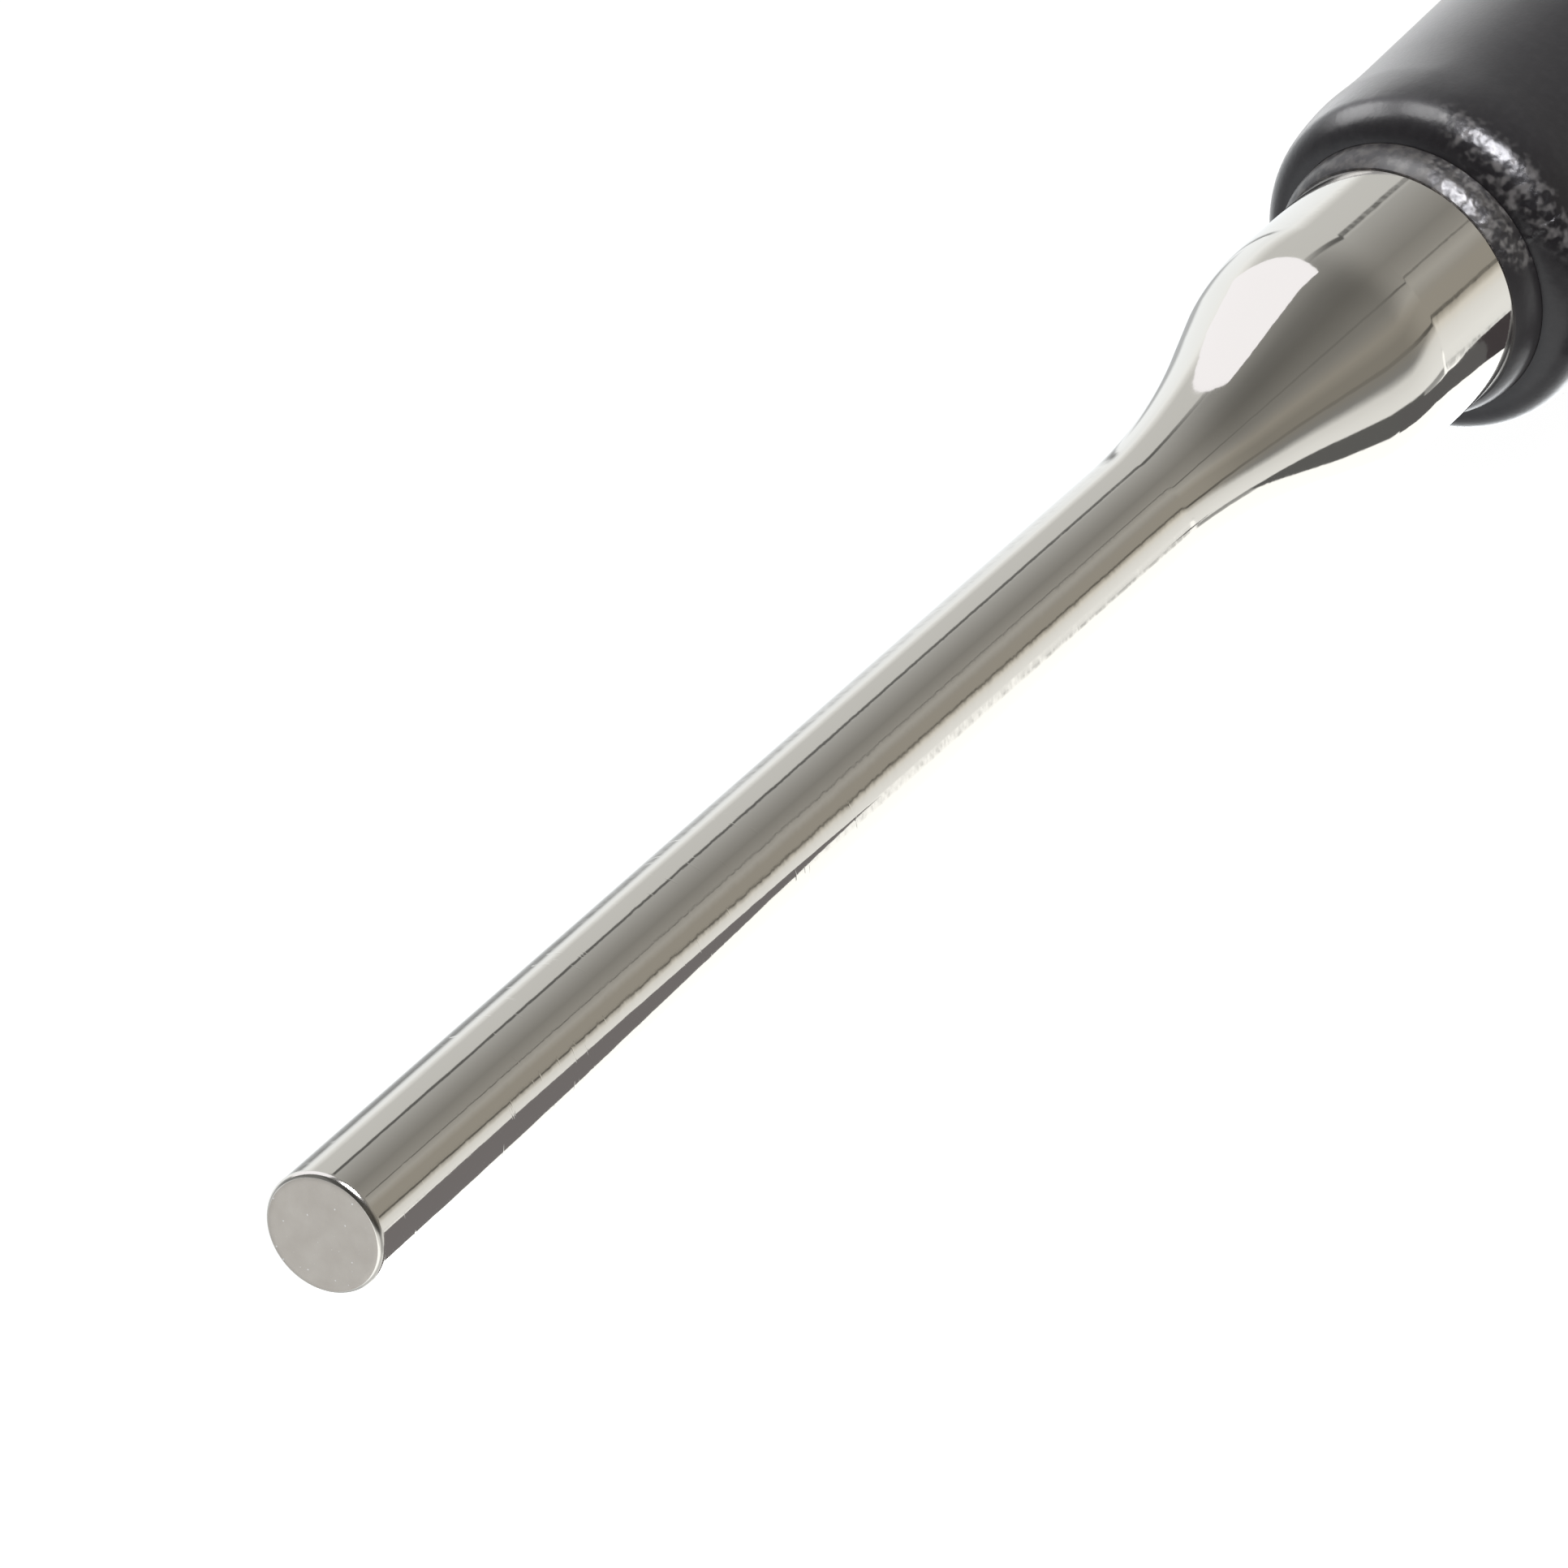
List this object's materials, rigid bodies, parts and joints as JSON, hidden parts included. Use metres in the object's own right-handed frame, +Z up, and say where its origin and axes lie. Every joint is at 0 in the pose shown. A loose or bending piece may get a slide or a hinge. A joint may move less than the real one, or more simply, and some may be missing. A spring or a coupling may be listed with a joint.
{
  "type": "pin punch",
  "caption": "Pin punch: a plated steel pin flares into a round shank held in a tapered, moulded black grip, with a chamfered striking head behind it.",
  "frame": {"origin": "centre of the flat tip face of the pin", "axes": "+X along the tool from the tip to the striking head, +Z up, with one flat of the grip facing down"},
  "size_m": [0.1849, 0.0176, 0.0164],
  "materials": {
    "plated_steel": "polished nickel plate, with matt ground ends",
    "core_plastic": "fine moulded texture, dark grey",
    "cover_rubber": "fine moulded texture, black"
  },
  "bodies": {
    "root": {"punch": "plated_steel", "grip_core": "core_plastic", "grip_cover": "cover_rubber"}
  },
  "joints": []
}
